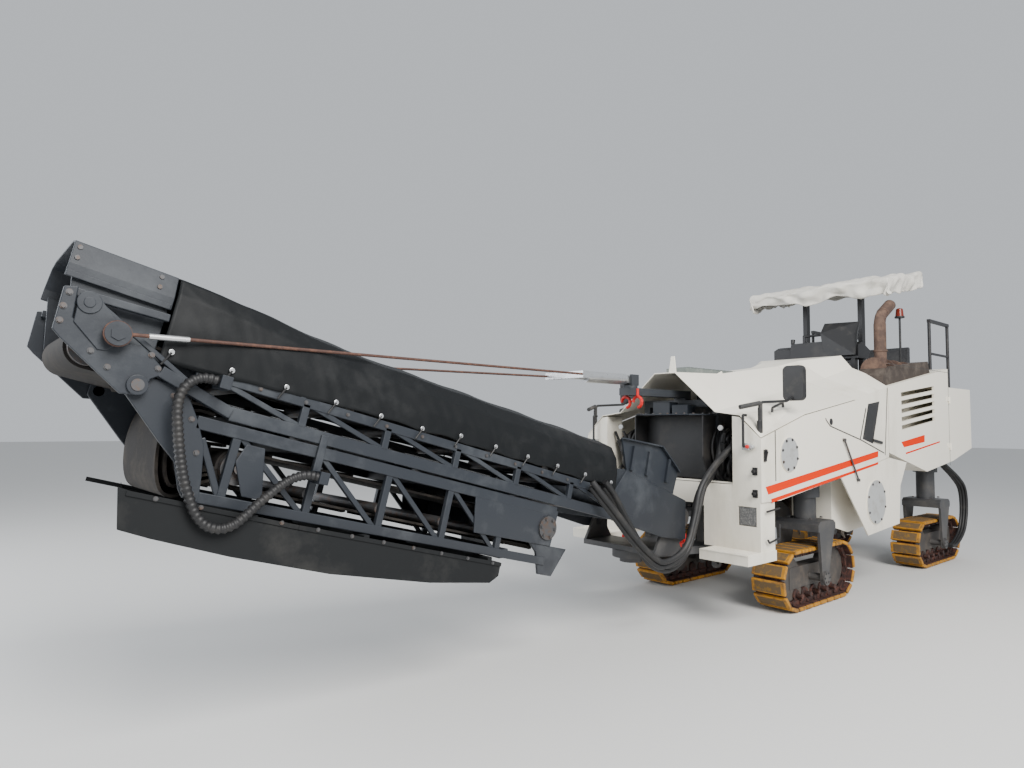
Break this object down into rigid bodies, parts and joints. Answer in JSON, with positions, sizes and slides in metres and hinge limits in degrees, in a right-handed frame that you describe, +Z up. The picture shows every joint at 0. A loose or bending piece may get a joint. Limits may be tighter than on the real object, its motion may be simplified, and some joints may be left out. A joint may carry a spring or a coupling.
{
  "type": "cold planer milling machine",
  "caption": "Compact cold planer on four steered tracks, with a milling drum amidships and a folding front discharge conveyor that slews, lifts and unfolds.",
  "frame": {"origin": "on the ground, at the middle of the machine's length and width", "axes": "+X forward along the conveyor, +Y to the machine's left, +Z up"},
  "size_m": [9.3346, 1.842, 3.2671],
  "materials": {
    "white_paint": "satin",
    "grey_paint": "satin",
    "black_paint": "satin",
    "yellow_pad": "matte",
    "chain_steel": "rough",
    "drum_steel": "rough",
    "bright_steel": "satin",
    "rubber": "matte",
    "tarp_grey": "matte",
    "tarp_white": "matte",
    "rust": "rough",
    "seat_black": "matte",
    "engine_grey": "rough",
    "mirror_black": "matte"
  },
  "bodies": {
    "chassis": {"main_frame": "grey_paint", "cross_members": "grey_paint", "front_mast": "grey_paint", "slew_tongue": "grey_paint", "front_bumper": "white_paint", "side_panels": "white_paint", "front_hood": "white_paint", "engine_hood": "white_paint", "cooler_box": "black_paint", "engine": "engine_grey", "rear_cheeks": "white_paint", "platform": "black_paint", "console": "grey_paint", "seats": "seat_black", "canopy_frame": "black_paint", "canopy_tarp": "tarp_white", "exhaust": "rust", "heat_shield": "rust", "mirrors": "mirror_black", "handrails": "grey_paint", "drum_housing": "white_paint", "pickup_conveyor": "black_paint", "transfer_hopper": "rubber"},
    "left_door": {"left_door": "white_paint"},
    "right_door": {"right_door": "white_paint"},
    "drum": {"milling_drum": "drum_steel"},
    "unit_fl": {"fork_fl": "grey_paint", "roller_frame_fl": "chain_steel", "track_fl": "yellow_pad"},
    "unit_fr": {"fork_fr": "grey_paint", "roller_frame_fr": "chain_steel", "track_fr": "yellow_pad"},
    "unit_rl": {"fork_rl": "grey_paint", "roller_frame_rl": "chain_steel", "track_rl": "yellow_pad"},
    "unit_rr": {"fork_rr": "grey_paint", "roller_frame_rr": "chain_steel", "track_rr": "yellow_pad"},
    "slew": {"slew_bracket": "grey_paint", "lift_swivel": "grey_paint"},
    "lift_cylinder": {"lift_barrel": "bright_steel"},
    "stay_rod": {"lift_rod": "bright_steel", "stay_cables": "chain_steel"},
    "conveyor": {"base_frame": "grey_paint", "base_belt": "rubber", "conveyor_hose": "rubber", "base_tarp": "tarp_grey", "end_hood": "grey_paint", "feed_hopper": "grey_paint"},
    "head": {"head_frame": "grey_paint", "head_belt": "rubber", "belt_loop": "rubber", "head_cover": "rubber"},
    "support_wheel": {"guide_wheel": "bright_steel"}
  },
  "joints": [
    {"name": "steer_fl", "type": "hinge", "parent": "chassis", "child": "unit_fl", "pos_m": [-1.02728, 0.63, 0.7], "axis": [0, 0, 1], "range_deg": [-22, 22]},
    {"name": "steer_fr", "type": "hinge", "parent": "chassis", "child": "unit_fr", "pos_m": [-1.02728, -0.63, 0.7], "axis": [0, 0, 1], "range_deg": [-22, 22]},
    {"name": "steer_rl", "type": "hinge", "parent": "chassis", "child": "unit_rl", "pos_m": [-3.92728, 0.63, 0.7], "axis": [0, 0, 1], "range_deg": [-22, 22]},
    {"name": "steer_rr", "type": "hinge", "parent": "chassis", "child": "unit_rr", "pos_m": [-3.92728, -0.63, 0.7], "axis": [0, 0, 1], "range_deg": [-22, 22]},
    {"name": "drum_spin", "type": "hinge", "parent": "chassis", "child": "drum", "pos_m": [-1.87728, 0, 0.85], "axis": [0, 1, 0], "continuous": true},
    {"name": "left_door_hinge", "type": "hinge", "parent": "chassis", "child": "left_door", "pos_m": [-3.91528, 0.911, 1.6], "axis": [0, 0, 1], "range_deg": [0, 100]},
    {"name": "right_door_hinge", "type": "hinge", "parent": "chassis", "child": "right_door", "pos_m": [-3.91528, -0.911, 1.6], "axis": [0, 0, -1], "range_deg": [0, 100]},
    {"name": "slew", "type": "hinge", "parent": "chassis", "child": "slew", "pos_m": [0.62272, 0, 0.6], "axis": [0, 0, 1], "range_deg": [-40, 40]},
    {"name": "lift", "type": "hinge", "parent": "slew", "child": "conveyor", "pos_m": [0.62272, 0, 0.74], "axis": [0, -1, 0], "range_deg": [-8, 6]},
    {"name": "fold", "type": "hinge", "parent": "conveyor", "child": "head", "pos_m": [4.35768, 0, 1.70675], "axis": [0, -1, 0], "range_deg": [0, 180], "deforming": ["belt_loop"]},
    {"name": "barrel_pin", "type": "hinge", "parent": "slew", "child": "lift_cylinder", "pos_m": [0.62272, 0, 1.93], "axis": [0, -1, 0], "range_deg": [-8.95, 7.09]},
    {"name": "rod_slide", "type": "slide", "parent": "lift_cylinder", "child": "stay_rod", "axis": [1, 0, -0.0048], "range_m": [-0.1343, 0.1757]},
    {"name": "support_wheel_spin", "type": "hinge", "parent": "head", "child": "support_wheel", "pos_m": [2.36338, 0, 0.57908], "axis": [0, 1, 0], "continuous": true}
  ],
  "couplings": [
    {"joint": "steer_fr", "follows": "steer_fl", "ratio": 1},
    {"joint": "steer_rr", "follows": "steer_rl", "ratio": 1},
    {"joint": "barrel_pin", "follows": "lift", "ratio": 0.9939},
    {"joint": "rod_slide", "follows": "lift", "m_per_rad": -1.1868}
  ]
}
